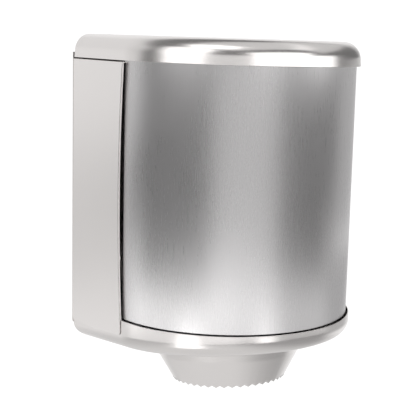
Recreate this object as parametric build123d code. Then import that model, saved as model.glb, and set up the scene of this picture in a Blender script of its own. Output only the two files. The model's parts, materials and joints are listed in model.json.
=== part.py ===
"""Wall-mounted centre-pull paper towel dispenser in brushed stainless sheet.

The fixed housing is a back plate, two side panels and a bottom pan that carries a toothed outlet cone.
The cover is a round front sheet under a pressed cap. It swings on a full-height rod inside its left end,
and a cam lock in the right side panel holds a hook on its right end.

Frame: origin on the wall plane, in the middle of the four wall holes. +X is to the right for somebody
facing the dispenser, +Y points into the wall and +Z is up. All lengths are millimetres.
"""

from build123d import *
import os
from math import cos, pi, radians, sin, sqrt, tan

os.makedirs("parts", exist_ok=True)

# Driving dimensions: the plan outline and the main levels
outline_radius = 120.0  # half the width, and the radius of the round front
straight_depth = 90.0  # wall to the centre of the round front
seam_height = 234.0  # pan rim to cap edge
cap_height = 22.0
cap_edge_radius = 16.0
pan_depth = 28.0  # rim to the underside, at the centre of the round front
pan_edge_radius = 14.0
pan_heel_radius = 14.0  # lower edge at the wall
floor_slope = 4.6  # degrees; the pan floor rises to the front and the outlet leans with it

# Helpers for cutting and picking
cut_margin = 1.0  # cutters reach this far past what they cut
pick_tolerance = 1e-3

# Sheet gauges
back_sheet = 1.2
panel_sheet = 1.0
pan_sheet = 1.0
cap_sheet = 1.0
cover_sheet = 0.8
cone_wall = 1.2

# Gaps between the cover and the housing
cover_recess = 4.0  # front sheet behind the cap and rim outline
cap_gap = 1.2  # cap edge above the side panels
rim_gap = 0.8  # front sheet above the pan rim
cover_tuck = 3.0  # ends of the front sheet behind the side panels' front edges
wall_gap = 3.0  # cap in front of the wall

# Side panels
panel_bow = 5.0  # hollow of the front edge at mid height
hem_width = 6.0
fold_lift = 1.0  # hem and rear flange start this far above the pan rim
top_flange = 10.0
rear_flange = 15.0
tongue_drop_front = 14.0  # lap of the panel over the pan, below the rim
tongue_drop_rear = 18.0
tongue_knee = 45.0  # wall to the point where the lap starts to rise
tongue_corner = 3.0
tongue_heel = 3.0  # lower corner at the wall
panel_edge_round = 0.8

# Back plate
back_rise = 6.0  # back plate above the side panels, behind the cap
back_corner = 2.0
hole_spacing_x = 140.0
hole_spacing_z = 160.0
hole_radius = 3.25

# Outlet cone
cone_drop = 41.5  # pan underside to the toothed mouth
cone_top_radius = 75.0
cone_knee_radius = 68.7
cone_knee_height = 27.0
cone_knee_round = 24.0
cone_mouth_radius = 53.8
cone_flange = 7.0
cone_flange_sheet = 1.0
flange_gap = 1.8  # edges of the cone's and the guide's flanges to the pan's rounded edges
flange_behind = 2.0  # flange left behind the cone at the wall
cone_clearance = 0.3
tooth_count = 44
tooth_depth = 2.0

# Paper guide: the plastic funnel inside the cone
guide_wall = 2.0
guide_throat_radius = 17.0
guide_flange_width = 11.0
guide_throat_top = 26.0  # below the flange
guide_throat_length = 14.0

# Front sheet details
end_flange = 12.0
bend_round = 1.5
cap_overlap = 8.0  # front sheet up inside the cap
band_inset = 1.0  # spacer band above the cap edge
band_height = 4.5
band_end_angle = 4.0
lower_band_sheet = 1.5
lower_band_height = 12.0
lower_band_lift = 2.0
lower_band_start = 24.0
lower_band_end = 174.0

# Hinge on the left end of the cover
hinge_inset = 8.5  # outside of the front sheet to the rod's axis
hinge_forward = 11.0  # centre of the round front to the rod's axis
rod_radius = 3.5
rod_top_margin = 3.0
running_clearance = 0.06
bush_wall = 1.3
bush_flange_radius = 6.5
bush_flange = 1.5
thrust_clearance = 0.2
spacer_radius = 5.5
ear_sheet = 2.0
ear_reach = 7.5  # ear inwards of the rod's axis
ear_leg = 14.0
ear_leg_sheet = 1.5
ear_start_angle = 2.4
ear_end_angle = 19.0
lower_ear_lift = 4.0  # ear plate above the lower edge of the front sheet
upper_ear_drop = 13.0  # top of the ear plate below the cap edge
bracket_sheet = 3.0
bracket_width = 13.0
bracket_drop = 5.0  # bracket plate below the pan rim
bracket_leg_sheet = 2.0
bracket_leg_height = 6.0
bracket_back = 40.0  # length of the bracket behind the rod
bracket_start = 1.0  # foot starts behind the centre of the round front
nut_height = 5.0
nut_flats = 11.0
rod_thread_end = 1.5
clip_radius = 7.0
clip_thickness = 1.0

# Rivets
rivet_radius = 1.5
rivet_head_radius = 3.0
rivet_head = 1.0
guide_rivet_count = 4
guide_rivet_turn = 45.0  # angle of the first rivet
keeper_rivet_shares = (0.25, 0.75)  # heights on the hook bracket

# Cam lock in the right side panel
lock_setback = 24.0  # side panel's front edge to the lock's axis
lock_z = 0.0
lock_head_radius = 11.0
lock_head = 2.5
lock_body_radius = 8.0
lock_body_length = 17.0
lock_plug_radius = 5.5
lock_plug_face_radius = 7.4
lock_plug_face = 1.2
lock_face_clearance = 0.1
lock_nut_flats = 22.0
lock_nut = 5.0
key_slot_width = 1.6
key_slot_length = 8.0
key_slot_depth = 4.0
tang_size = 6.0
cam_sheet = 2.0
cam_width = 12.0
cam_length = 24.0
cam_washer_radius = 5.0
cam_washer = 0.8
cam_screw_radius = 2.0
cam_screw_head_radius = 3.5
cam_screw_head = 2.4
cam_screw_length = 8.0

# Hook on the right end of the cover, and the buffer that it closes on
keeper_sheet = 1.6
keeper_low = 15.0  # above the lock's axis
keeper_height = 18.0
keeper_cam_gap = 2.0
keeper_side_gap = 2.4
keeper_hook = 14.0
buffer_gap = 0.3
buffer_length = 12.0
buffer_width = 18.0
buffer_height = 14.0
buffer_edge_round = 1.6

# Levels and places that follow from the sizes above
axis_y = -straight_depth
flange_rear_y = -(back_sheet + pan_heel_radius + flange_gap)
outlet_y = flange_rear_y - flange_behind - cone_top_radius
rim_z = -seam_height / 2
cap_z = seam_height / 2
cap_top_z = cap_z + cap_height
pan_bottom_z = rim_z - pan_depth
floor_z = pan_bottom_z + pan_sheet
mouth_z = pan_bottom_z - cone_drop
panel_top_z = cap_z - cap_gap
cover_radius = outline_radius - cover_recess
cover_inner = cover_radius - cover_sheet
cover_low_z = rim_z + rim_gap
cover_high_z = cap_z + cap_overlap
cover_end_y = axis_y + cover_tuck
panel_inner_x = outline_radius - panel_sheet
hinge_x = -(cover_radius - hinge_inset)
hinge_y = axis_y - hinge_forward
lean = Pos(0, axis_y, pan_bottom_z) * Rot(-floor_slope, 0, 0) * Pos(0, -axis_y, -pan_bottom_z)


def block(x0, x1, y0, y1, z0, z1):
    """Box between two corners."""
    return Pos((x0 + x1) / 2, (y0 + y1) / 2, (z0 + z1) / 2) * Box(x1 - x0, y1 - y0, z1 - z0)


def upright(x, y, radius, z0, z1):
    """Round bar along Z."""
    return Pos(x, y, (z0 + z1) / 2) * Cylinder(radius, z1 - z0)


def crosswise(y, z, radius, x0, x1):
    """Round bar along X."""
    return Pos((x0 + x1) / 2, y, z) * Rot(0, 90, 0) * Cylinder(radius, x1 - x0)


def plan(inset, rear_y):
    """Plan outline as a face: straight sides from rear_y and a half-round front, taken in by inset."""
    r = outline_radius - inset
    left, front, right = (-r, axis_y), (0, axis_y - r), (r, axis_y)
    edges = Line((-r, rear_y), left) + ThreePointArc(left, front, right)
    edges += Line(right, (r, rear_y)) + Line((r, rear_y), (-r, rear_y))
    return make_face(edges)


def shell_half(inset, rear_y, z0, z1, edge_radius, round_z):
    """Solid on the plan outline whose edge at round_z is rounded along the sides and the front."""
    body = extrude(Pos(0, 0, z0) * plan(inset, rear_y), amount=z1 - z0, dir=(0, 0, 1))
    rim = body.edges().filter_by(
        lambda e: abs(e.center().Z - round_z) < pick_tolerance and abs(e.center().Y - rear_y) > pick_tolerance
    )
    return fillet(rim, edge_radius)


def round_point(radius, angle):
    """Point of the round front: angle 0 is at the left end, 90 at the front, 180 at the right end."""
    return (-radius * cos(radians(angle)), axis_y - radius * sin(radians(angle)))


def sector(r0, r1, angle0, angle1, z0, z1):
    """Curved strip of the round front between two radii and two angles."""
    middle = (angle0 + angle1) / 2
    outer = [round_point(r1, a) for a in (angle0, middle, angle1)]
    inner = [round_point(r0, a) for a in (angle1, middle, angle0)]
    edges = ThreePointArc(*outer) + Line(outer[2], inner[0])
    edges += ThreePointArc(*inner) + Line(inner[2], outer[0])
    return extrude(Pos(0, 0, z0) * make_face(edges), amount=z1 - z0, dir=(0, 0, 1))


def turned(points):
    """Solid turned about the outlet's axis before it leans, from (radius, z) points."""
    outline = make_face(Plane.XZ * Polyline(*points, close=True))
    return Pos(0, outlet_y, 0) * revolve(outline, Axis.Z)


def save(name, shape):
    export_step(shape, f"parts/{name}.step")


def make_back_plate():
    width = 2 * outline_radius
    top_z = panel_top_z + back_rise
    low_z = floor_at(-back_sheet, 0) + pan_heel_radius
    sheet = Pos(0, -back_sheet / 2, (top_z + low_z) / 2) * Box(width, back_sheet, top_z - low_z)
    corners = sheet.edges().filter_by(Axis.Y).group_by(Axis.Z)[0]
    sheet = fillet(corners, back_corner)
    for x in (-hole_spacing_x / 2, hole_spacing_x / 2):
        for z in (-hole_spacing_z / 2, hole_spacing_z / 2):
            hole = Cylinder(hole_radius, back_sheet + 2 * cut_margin)
            sheet -= Pos(x, -back_sheet / 2, z) * Rot(90, 0, 0) * hole
    return sheet


def make_left_panel():
    """Flat side with a hemmed, slightly hollow front edge, and flanges along the top and the wall."""
    front, rear = axis_y, -back_sheet
    low_front, low_rear = rim_z - tongue_drop_front, rim_z - tongue_drop_rear
    middle = (front + panel_bow, (panel_top_z + rim_z) / 2)
    edges = ThreePointArc((front, panel_top_z), middle, (front, rim_z))
    edges += Polyline(
        (front, rim_z), (front, low_front), (-tongue_knee, low_rear), (rear, low_rear), (rear, panel_top_z),
        (front, panel_top_z),
    )
    side = make_face(Plane.YZ * edges)
    outer_x = -outline_radius
    sheet = extrude(Pos(outer_x, 0, 0) * side, amount=panel_sheet, dir=(1, 0, 0))
    nose = sheet.edges().filter_by(Axis.X).group_by(Axis.Y)[0].sort_by(Axis.Z)[0]
    sheet = fillet(nose, tongue_corner)
    heel = sheet.edges().filter_by(Axis.X).group_by(Axis.Y)[-1].sort_by(Axis.Z)[0]
    sheet = fillet(heel, tongue_heel)
    fold_z = rim_z + fold_lift
    above_rim = block(outer_x, outer_x + 2 * panel_sheet, front - cut_margin, rear, fold_z, panel_top_z)
    hem = extrude(Pos(-panel_inner_x, 0, 0) * side, amount=panel_sheet, dir=(1, 0, 0))
    hem = (hem - Pos(0, hem_width, 0) * hem) & above_rim
    flange_y = rear - panel_sheet
    top_end_x = -panel_inner_x + top_flange
    back_end_x = -panel_inner_x + rear_flange
    top = block(-panel_inner_x, top_end_x, front + hem_width, rear, panel_top_z - panel_sheet, panel_top_z)
    back = block(-panel_inner_x, back_end_x, flange_y, rear, fold_z, panel_top_z)
    panel = sheet + hem + top + back
    outside = panel.edges().filter_by(lambda e: abs(e.center().X - outer_x) < pick_tolerance)
    crown = outside.filter_by(lambda e: abs(e.center().Z - panel_top_z) < pick_tolerance)
    crown += outside.filter_by(GeomType.CIRCLE).filter_by(lambda e: e.length > hem_width)
    return fillet(crown, panel_edge_round)


def floor_at(y, lift):
    """Level of the pan's underside at y, or of a surface lifted off it."""
    slope = radians(floor_slope)
    return pan_bottom_z + lift / cos(slope) + (axis_y - y) * tan(slope)


def pan_block(inset, rear_y, lift, top_z):
    """Solid on the plan outline above the sloping floor, with its lower edges rounded."""
    front_y = axis_y - outline_radius
    rear_z = floor_at(rear_y, lift)
    front_z = floor_at(front_y, lift)
    side = Polyline((front_y, front_z), (rear_y, rear_z), (rear_y, top_z), (front_y, top_z), close=True)
    wedge = extrude(make_face(Plane.YZ * side), amount=outline_radius, both=True)
    body = wedge & extrude(Pos(0, 0, rear_z) * plan(inset, rear_y), amount=top_z - rear_z, dir=(0, 0, 1))
    lower = body.edges().filter_by(Axis.X, reverse=True).filter_by(Axis.Z, reverse=True)
    lower = lower.filter_by(lambda e: e.center().Z < top_z - pick_tolerance)
    body = fillet(lower, pan_edge_radius - lift)
    heel = wedge.edges().filter_by(Axis.X).group_by(Axis.Z)[0]
    return body & fillet(heel, pan_heel_radius - lift)


def make_pan():
    outside = pan_block(panel_sheet, -back_sheet, 0, rim_z)
    inside = pan_block(panel_sheet + pan_sheet, -back_sheet - pan_sheet, pan_sheet, rim_z + cut_margin)
    hole_low, hole_high = pan_bottom_z - cut_margin, floor_z + cut_margin
    hole = upright(0, outlet_y, cone_top_radius + cone_clearance, hole_low, hole_high)
    return outside - inside - lean * hole - [lean * rivet_hole for rivet_hole in guide_rivet_holes()]


def make_cone():
    """Outlet cone: a flange on the pan floor, a bowl and a ring of teeth at the mouth."""
    knee_z = mouth_z + cone_knee_height
    flange_z = floor_z + cone_flange_sheet
    outer = [(cone_top_radius, floor_z), (cone_knee_radius, knee_z), (cone_mouth_radius, mouth_z)]
    inner = [(r - cone_wall, z) for r, z in outer]
    rim = cone_top_radius + cone_flange
    cone = turned(
        [(rim, flange_z), (rim, floor_z), *outer, inner[2], inner[1], (inner[0][0], flange_z)]
    )
    circles = cone.edges().filter_by(GeomType.CIRCLE)
    knee = circles.filter_by(lambda e: abs(e.center().Z - knee_z) < pick_tolerance)
    cone = fillet(knee, cone_knee_round)
    pitch = 2 * pi * cone_mouth_radius / tooth_count
    notch = Polyline((-pitch / 2, -tooth_depth), (pitch / 2, -tooth_depth), (0, tooth_depth), close=True)
    reach = cone_wall + 2 * tooth_depth + cut_margin
    cutter = extrude(make_face(Plane.YZ * notch), amount=reach, both=True)
    notches = [
        Pos(0, outlet_y, mouth_z) * Rot(0, 0, 360 * i / tooth_count) * Pos(cone_mouth_radius, 0, 0) * cutter
        for i in range(tooth_count)
    ]
    return lean * (cone - notches - guide_rivet_holes() - flange_trim())


def guide_flange_z():
    return floor_z + cone_flange_sheet


def flange_trim():
    """Frame that keeps the flanges on the flat of the pan floor, clear of its rounded edges."""
    height = cone_flange_sheet + guide_wall + cut_margin
    inset = panel_sheet + pan_edge_radius + flange_gap
    pan_area = extrude(Pos(0, 0, floor_z) * plan(0, 0), amount=height, dir=(0, 0, 1))
    flat_area = extrude(Pos(0, 0, floor_z) * plan(inset, flange_rear_y), amount=height, dir=(0, 0, 1))
    return pan_area - flat_area


def make_guide():
    """Plastic funnel that leads the paper from the middle of the roll to the throat."""
    low = guide_flange_z()
    high = low + guide_wall
    rim = cone_top_radius + cone_flange
    bend = rim - guide_flange_width
    throat_top = high - guide_throat_top
    throat_low = throat_top - guide_throat_length
    throat_out = guide_throat_radius + guide_wall
    throat = guide_throat_radius
    inner = [(rim, high), (bend, high), (throat, throat_top), (throat, throat_low)]
    outer = [(throat_out, throat_low), (throat_out, throat_top - guide_wall), (bend - guide_wall, low), (rim, low)]
    return lean * (turned(inner + outer) - guide_rivet_holes() - flange_trim())


def guide_rivet_places():
    radius = cone_top_radius + cone_flange / 2
    for i in range(guide_rivet_count):
        angle = radians(guide_rivet_turn + 360 * i / guide_rivet_count)
        yield radius * cos(angle), outlet_y + radius * sin(angle)


def guide_rivet_holes():
    low = pan_bottom_z - cut_margin
    high = guide_flange_z() + guide_wall + cut_margin
    return [upright(x, y, rivet_radius, low, high) for x, y in guide_rivet_places()]


def make_guide_rivets():
    top = guide_flange_z() + guide_wall
    rivets = []
    for x, y in guide_rivet_places():
        rivet = upright(x, y, rivet_radius, pan_bottom_z - rivet_head, top + rivet_head)
        rivet += upright(x, y, rivet_head_radius, pan_bottom_z - rivet_head, pan_bottom_z)
        rivet += upright(x, y, rivet_head_radius, top, top + rivet_head)
        rivets.append(lean * rivet)
    return Compound(children=rivets)


def make_cap():
    outside = shell_half(0, -wall_gap, cap_z, cap_top_z, cap_edge_radius, cap_top_z)
    rear_y = -wall_gap - cap_sheet
    ceiling = cap_top_z - cap_sheet
    inside = shell_half(cap_sheet, rear_y, cap_z - cut_margin, ceiling, cap_edge_radius - cap_sheet, ceiling)
    return outside - inside


def make_front_cover():
    """Round front sheet whose two ends are bent inwards as stiffening flanges."""
    sheet = sector(cover_inner, cover_radius, 0, 180, cover_low_z, cover_high_z)
    for side in (-1, 1):
        low, high = sorted((side * cover_inner, side * cover_radius))
        sheet += block(low, high, axis_y, cover_end_y, cover_low_z, cover_high_z)
        low, high = sorted((side * cover_radius, side * (cover_radius - end_flange)))
        sheet += block(low, high, cover_end_y - cover_sheet, cover_end_y, cover_low_z, cover_high_z)
    ends = sheet.edges().filter_by(Axis.Z).filter_by(lambda e: abs(e.center().Y - cover_end_y) < pick_tolerance)
    bends = ends.filter_by(lambda e: abs(abs(e.center().X) - cover_radius) < pick_tolerance)
    sheet = fillet(bends, bend_round)
    hole = Rot(90, 0, 0) * Cylinder(rivet_radius, 2 * (cover_sheet + cut_margin))
    for x, z in keeper_rivet_places():
        sheet -= Pos(x, cover_end_y, z) * hole
    return sheet


def make_cap_band():
    """Spacer band that joins the front sheet to the inside of the cap."""
    low = cap_z + band_inset
    return sector(
        cover_radius, outline_radius - cap_sheet, band_end_angle, 180 - band_end_angle, low, low + band_height
    )


def make_lower_band():
    low = cover_low_z + lower_band_lift
    return sector(
        cover_inner - lower_band_sheet, cover_inner, lower_band_start, lower_band_end, low, low + lower_band_height
    )


def lower_ear_z():
    return cover_low_z + lower_ear_lift


def upper_ear_z():
    return cap_z - upper_ear_drop - ear_sheet


def make_ear(plate_z, leg_up):
    """Hinge ear: a plate round the rod with a leg along the front sheet."""
    inner = sqrt(hinge_x**2 + hinge_forward**2) - ear_reach
    ear = sector(inner, cover_inner, ear_start_angle, ear_end_angle, plate_z, plate_z + ear_sheet)
    leg_low = plate_z if leg_up else plate_z + ear_sheet - ear_leg
    leg_start = (ear_start_angle + ear_end_angle) / 2
    ear += sector(cover_inner - ear_leg_sheet, cover_inner, leg_start, ear_end_angle, leg_low, leg_low + ear_leg)
    low, high = plate_z - cut_margin, plate_z + ear_sheet + cut_margin
    return ear - upright(hinge_x, hinge_y, rod_radius + bush_wall, low, high)


def make_bush(plate_z):
    """Flanged nylon bush in an ear, with its flange below the plate."""
    bush = upright(hinge_x, hinge_y, rod_radius + bush_wall, plate_z, plate_z + ear_sheet)
    bush += upright(hinge_x, hinge_y, bush_flange_radius, plate_z - bush_flange, plate_z)
    bore = rod_radius + running_clearance
    low, high = plate_z - bush_flange - cut_margin, plate_z + ear_sheet + cut_margin
    return bush - upright(hinge_x, hinge_y, bore, low, high)


def bracket_top_z():
    return rim_z - bracket_drop


def make_rod_bracket():
    """Bracket on the inside of the pan wall that holds the lower end of the hinge rod."""
    top, low = bracket_top_z(), bracket_top_z() - bracket_sheet
    half = bracket_width / 2
    wall_x = -(outline_radius - panel_sheet - pan_sheet)
    back_y = hinge_y + bracket_back
    plate = block(hinge_x - half, hinge_x + half, hinge_y, back_y, low, top)
    plate += upright(hinge_x, hinge_y, half, low, top)
    start_y = axis_y + bracket_start
    foot = block(wall_x, hinge_x + half, start_y, back_y, low, top)
    leg = block(wall_x, wall_x + bracket_leg_sheet, start_y, back_y, top - bracket_leg_height, top)
    return plate + foot + leg - upright(hinge_x, hinge_y, rod_radius, low - cut_margin, top + cut_margin)


def make_rod():
    low = bracket_top_z() - bracket_sheet - nut_height - rod_thread_end
    high = upper_ear_z() + ear_sheet + clip_thickness + rod_top_margin
    return upright(hinge_x, hinge_y, rod_radius, low, high)


def make_rod_nut():
    high = bracket_top_z() - bracket_sheet
    hexagon = Pos(hinge_x, hinge_y, high - nut_height) * RegularPolygon(nut_flats / 2, 6, major_radius=False)
    nut = extrude(hexagon, amount=nut_height, dir=(0, 0, 1))
    return nut - upright(hinge_x, hinge_y, rod_radius, high - nut_height - cut_margin, high + cut_margin)


def make_rod_spacer():
    high = lower_ear_z() - bush_flange - thrust_clearance
    low = bracket_top_z()
    tube = upright(hinge_x, hinge_y, spacer_radius, low, high)
    return tube - upright(hinge_x, hinge_y, rod_radius, low - cut_margin, high + cut_margin)


def make_rod_clip():
    low = upper_ear_z() + ear_sheet + thrust_clearance
    high = low + clip_thickness
    ring = upright(hinge_x, hinge_y, clip_radius, low, high)
    return ring - upright(hinge_x, hinge_y, rod_radius, low - cut_margin, high + cut_margin)


def lock_y():
    return axis_y + lock_setback


def lock_inner_x():
    return outline_radius - lock_body_length


def cam_outer_x():
    return lock_inner_x() - lock_face_clearance


def make_right_panel():
    panel = mirror(make_left_panel(), about=Plane.YZ)
    x0, x1 = panel_inner_x - cut_margin, outline_radius + cut_margin
    return panel - crosswise(lock_y(), lock_z, lock_body_radius, x0, x1)


def make_lock_housing():
    x1 = outline_radius + lock_head
    body = crosswise(lock_y(), lock_z, lock_body_radius, lock_inner_x(), outline_radius)
    head = crosswise(lock_y(), lock_z, lock_head_radius, outline_radius, x1)
    head = fillet(head.faces().sort_by(Axis.X)[-1].edges(), lock_head / 2)
    bore_radius = lock_plug_radius + running_clearance
    bore = crosswise(lock_y(), lock_z, bore_radius, lock_inner_x() - cut_margin, x1 + cut_margin)
    seat_radius = lock_plug_face_radius + lock_face_clearance
    seat_x = x1 - lock_plug_face - lock_face_clearance
    seat = crosswise(lock_y(), lock_z, seat_radius, seat_x, x1 + cut_margin)
    return body + head - bore - seat


def make_lock_nut():
    x0 = panel_inner_x - lock_nut
    hexagon = RegularPolygon(lock_nut_flats / 2, 6, major_radius=False)
    nut = extrude(Plane.YZ.offset(x0) * Pos(lock_y(), lock_z) * hexagon, amount=lock_nut, dir=(1, 0, 0))
    return nut - crosswise(lock_y(), lock_z, lock_body_radius, x0 - cut_margin, panel_inner_x + cut_margin)


def make_lock_plug():
    """Turning core: a face with a plain key slot, a round barrel and a square tang for the cam."""
    x1 = outline_radius + lock_head
    face = crosswise(lock_y(), lock_z, lock_plug_face_radius, x1 - lock_plug_face, x1)
    barrel = crosswise(lock_y(), lock_z, lock_plug_radius, cam_outer_x(), x1 - lock_plug_face)
    end_x = cam_outer_x() - cam_sheet
    half = tang_size / 2
    tang = block(end_x, cam_outer_x(), lock_y() - half, lock_y() + half, lock_z - half, lock_z + half)
    half_length, half_width = key_slot_length / 2, key_slot_width / 2
    slot = block(
        x1 - key_slot_depth, x1 + cut_margin, lock_y() - half_length, lock_y() + half_length, lock_z - half_width,
        lock_z + half_width,
    )
    thread = crosswise(lock_y(), lock_z, cam_screw_radius, end_x - cut_margin, end_x + cam_screw_length)
    return face + barrel + tang - slot - thread


def make_cam():
    """Flat cam on the tang. It points to the front when the lock is open."""
    x0, x1 = cam_outer_x() - cam_sheet, cam_outer_x()
    half = cam_width / 2
    end_y = lock_y() - cam_length + half
    bar = block(x0, x1, end_y, lock_y(), lock_z - half, lock_z + half)
    bar += crosswise(lock_y(), lock_z, half, x0, x1)
    bar += crosswise(end_y, lock_z, half, x0, x1)
    tang = tang_size / 2
    hole_x0, hole_x1 = x0 - cut_margin, x1 + cut_margin
    return bar - block(hole_x0, hole_x1, lock_y() - tang, lock_y() + tang, lock_z - tang, lock_z + tang)


def make_cam_washer():
    x1 = cam_outer_x() - cam_sheet
    x0 = x1 - cam_washer
    washer = crosswise(lock_y(), lock_z, cam_washer_radius, x0, x1)
    return washer - crosswise(lock_y(), lock_z, cam_screw_radius, x0 - cut_margin, x1 + cut_margin)


def make_cam_screw():
    x1 = cam_outer_x() - cam_sheet
    under_head = x1 - cam_washer
    head_x = under_head - cam_screw_head
    shank = crosswise(lock_y(), lock_z, cam_screw_radius, under_head, x1 + cam_screw_length)
    head = crosswise(lock_y(), lock_z, cam_screw_head_radius, head_x, under_head)
    reach, half = cam_screw_head_radius, key_slot_width / 2
    slot_end = (head_x + under_head) / 2
    slot = block(head_x - cut_margin, slot_end, lock_y() - reach, lock_y() + reach, lock_z - half, lock_z + half)
    return shank + head - slot


def keeper_inner_x():
    return cam_outer_x() - cam_sheet - keeper_side_gap - keeper_sheet


def hook_y():
    return lock_y() + cam_width / 2 + keeper_cam_gap


def keeper_rivet_places():
    x = cover_radius - end_flange / 2
    for share in keeper_rivet_shares:
        yield x, lock_z + keeper_low + share * keeper_height


def make_keeper():
    """Hook bracket on the right end of the cover. The lock's cam stands in front of the hook."""
    z0, z1 = lock_z + keeper_low, lock_z + keeper_low + keeper_height
    front_y = cover_end_y - cover_sheet - keeper_sheet
    x0 = keeper_inner_x()
    base = block(x0, cover_inner - keeper_sheet, front_y, front_y + keeper_sheet, z0, z1)
    arm = block(x0, x0 + keeper_sheet, front_y, hook_y() + keeper_sheet, z0, z1)
    hook = block(x0, x0 + keeper_hook, hook_y(), hook_y() + keeper_sheet, z0, z1)
    keeper = base + arm + hook
    hole = Rot(90, 0, 0) * Cylinder(rivet_radius, 2 * (keeper_sheet + cut_margin))
    for x, z in keeper_rivet_places():
        keeper -= Pos(x, front_y, z) * hole
    return keeper


def make_keeper_rivets():
    front_y = cover_end_y - cover_sheet - keeper_sheet
    shank = cover_end_y - front_y + 2 * rivet_head
    rivets = []
    for x, z in keeper_rivet_places():
        rivet = Pos(x, (front_y + cover_end_y) / 2, z) * Rot(90, 0, 0) * Cylinder(rivet_radius, shank)
        for y in (front_y - rivet_head / 2, cover_end_y + rivet_head / 2):
            rivet += Pos(x, y, z) * Rot(90, 0, 0) * Cylinder(rivet_head_radius, rivet_head)
        rivets.append(rivet)
    return Compound(children=rivets)


def make_buffer():
    """Rubber block on the right side panel that the hook closes on."""
    y0 = hook_y() + keeper_sheet + buffer_gap
    middle = lock_z + keeper_low + keeper_height / 2
    half = buffer_height / 2
    x0 = panel_inner_x - buffer_width
    pad = block(x0, panel_inner_x, y0, y0 + buffer_length, middle - half, middle + half)
    return fillet(pad.faces().sort_by(Axis.X)[0].edges(), buffer_edge_round)


def main():
    save("back_plate", make_back_plate())
    save("left_side_panel", make_left_panel())
    save("right_side_panel", make_right_panel())
    save("bottom_pan", make_pan())
    save("outlet_cone", make_cone())
    save("paper_guide", make_guide())
    save("guide_rivets", make_guide_rivets())
    save("top_cap", make_cap())
    save("front_cover", make_front_cover())
    save("cap_band", make_cap_band())
    save("lower_band", make_lower_band())
    save("lower_hinge_ear", make_ear(lower_ear_z(), leg_up=True))
    save("upper_hinge_ear", make_ear(upper_ear_z(), leg_up=False))
    save("lower_bush", make_bush(lower_ear_z()))
    save("upper_bush", make_bush(upper_ear_z()))
    save("rod_bracket", make_rod_bracket())
    save("hinge_rod", make_rod())
    save("rod_nut", make_rod_nut())
    save("rod_spacer", make_rod_spacer())
    save("rod_clip", make_rod_clip())
    save("lock_housing", make_lock_housing())
    save("lock_nut", make_lock_nut())
    save("lock_plug", make_lock_plug())
    save("lock_cam", make_cam())
    save("cam_washer", make_cam_washer())
    save("cam_screw", make_cam_screw())
    save("lock_keeper", make_keeper())
    save("keeper_rivets", make_keeper_rivets())
    save("closing_buffer", make_buffer())


main()
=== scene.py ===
"""Looks of a wall-mounted centre-pull paper towel dispenser in brushed stainless sheet."""

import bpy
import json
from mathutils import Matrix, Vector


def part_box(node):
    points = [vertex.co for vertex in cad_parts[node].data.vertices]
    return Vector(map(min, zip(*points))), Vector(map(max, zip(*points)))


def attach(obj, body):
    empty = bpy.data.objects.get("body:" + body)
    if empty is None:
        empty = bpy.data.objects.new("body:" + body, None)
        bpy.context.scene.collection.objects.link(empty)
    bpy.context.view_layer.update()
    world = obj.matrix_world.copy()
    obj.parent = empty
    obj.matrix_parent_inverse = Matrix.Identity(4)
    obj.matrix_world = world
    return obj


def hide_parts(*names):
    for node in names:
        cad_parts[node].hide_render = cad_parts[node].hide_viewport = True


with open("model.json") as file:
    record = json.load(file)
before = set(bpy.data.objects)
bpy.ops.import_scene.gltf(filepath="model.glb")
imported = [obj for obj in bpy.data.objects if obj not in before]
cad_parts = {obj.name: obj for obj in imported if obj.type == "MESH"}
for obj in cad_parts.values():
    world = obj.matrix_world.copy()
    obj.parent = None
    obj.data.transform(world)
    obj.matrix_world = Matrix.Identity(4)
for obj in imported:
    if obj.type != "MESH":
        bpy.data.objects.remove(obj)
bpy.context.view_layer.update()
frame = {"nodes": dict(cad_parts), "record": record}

import json
from math import asin, atan, cos, pi, radians, sin, tan

import bmesh
import bpy
from bpy.props import FloatProperty, FloatVectorProperty, IntProperty, PointerProperty
from mathutils import Matrix, Vector

bl_info = {
    "name": "Paper Towel Dispenser",
    "version": (1, 0, 0),
    "blender": (4, 5, 0),
    "location": "View3D > Sidebar > Dispenser",
    "description": "Builds the sheet metal, finishes and studio of a wall-mounted paper towel dispenser",
    "category": "Add Mesh",
}

# Places read from the frame, in metres
CAP_LOW, CAP_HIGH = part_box("top_cap")
COVER_LOW, COVER_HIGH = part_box("front_cover")
PANEL_LOW, PANEL_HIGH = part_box("left_side_panel")
PAN_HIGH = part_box("bottom_pan")[1]
CONE_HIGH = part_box("outlet_cone")[1]
GUIDE_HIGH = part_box("paper_guide")[1]
OUTLINE_RADIUS = CAP_HIGH.x
AXIS_Y = CAP_LOW.y + OUTLINE_RADIUS
COVER_RADIUS = AXIS_Y - COVER_LOW.y
PAN_RADIUS = PAN_HIGH.x
RIM_Z = PAN_HIGH.z

TOUCH = 1e-5  # points closer than this are one point

# How finely the rounds are divided
OUTLINE_STEPS = 112
COVER_STEPS = 144
GUIDE_STEPS = 128
HOLE_STEPS = 112
EDGE_ROUND_STEPS = 12
BEND_STEPS = 6
BOW_STEPS = 32
HEEL_STEPS = 8
FOLD_STEPS = 4
KNEE_STEPS = 8
TOOTH_STEPS = 4
SOFT_EDGE_STEPS = 2

SOFTENED_ANGLE = radians(40)  # edges sharper than this are softened
SMOOTH_ANGLE = radians(35)  # faces that meet at less than this look smooth
THIN_SHEET_EDGE = 0.5  # share of the edge softening that thin sheet gets
HEM_WIDTH = 1.7  # in sheet gauges
SATIN_STRETCH = 0.3  # how far the satin grain draws out reflections
BRUSHED_STRETCH = 0.8
SENSOR_WIDTH = 36  # in millimetres


def length(name, description, default):
    """Length property in metres."""
    return FloatProperty(name=name, description=description, default=default, unit="LENGTH", precision=4)


def tint(name, description, default):
    """Colour property."""
    return FloatVectorProperty(
        name=name, description=description, default=default, subtype="COLOR", size=3, min=0, max=1
    )


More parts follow.
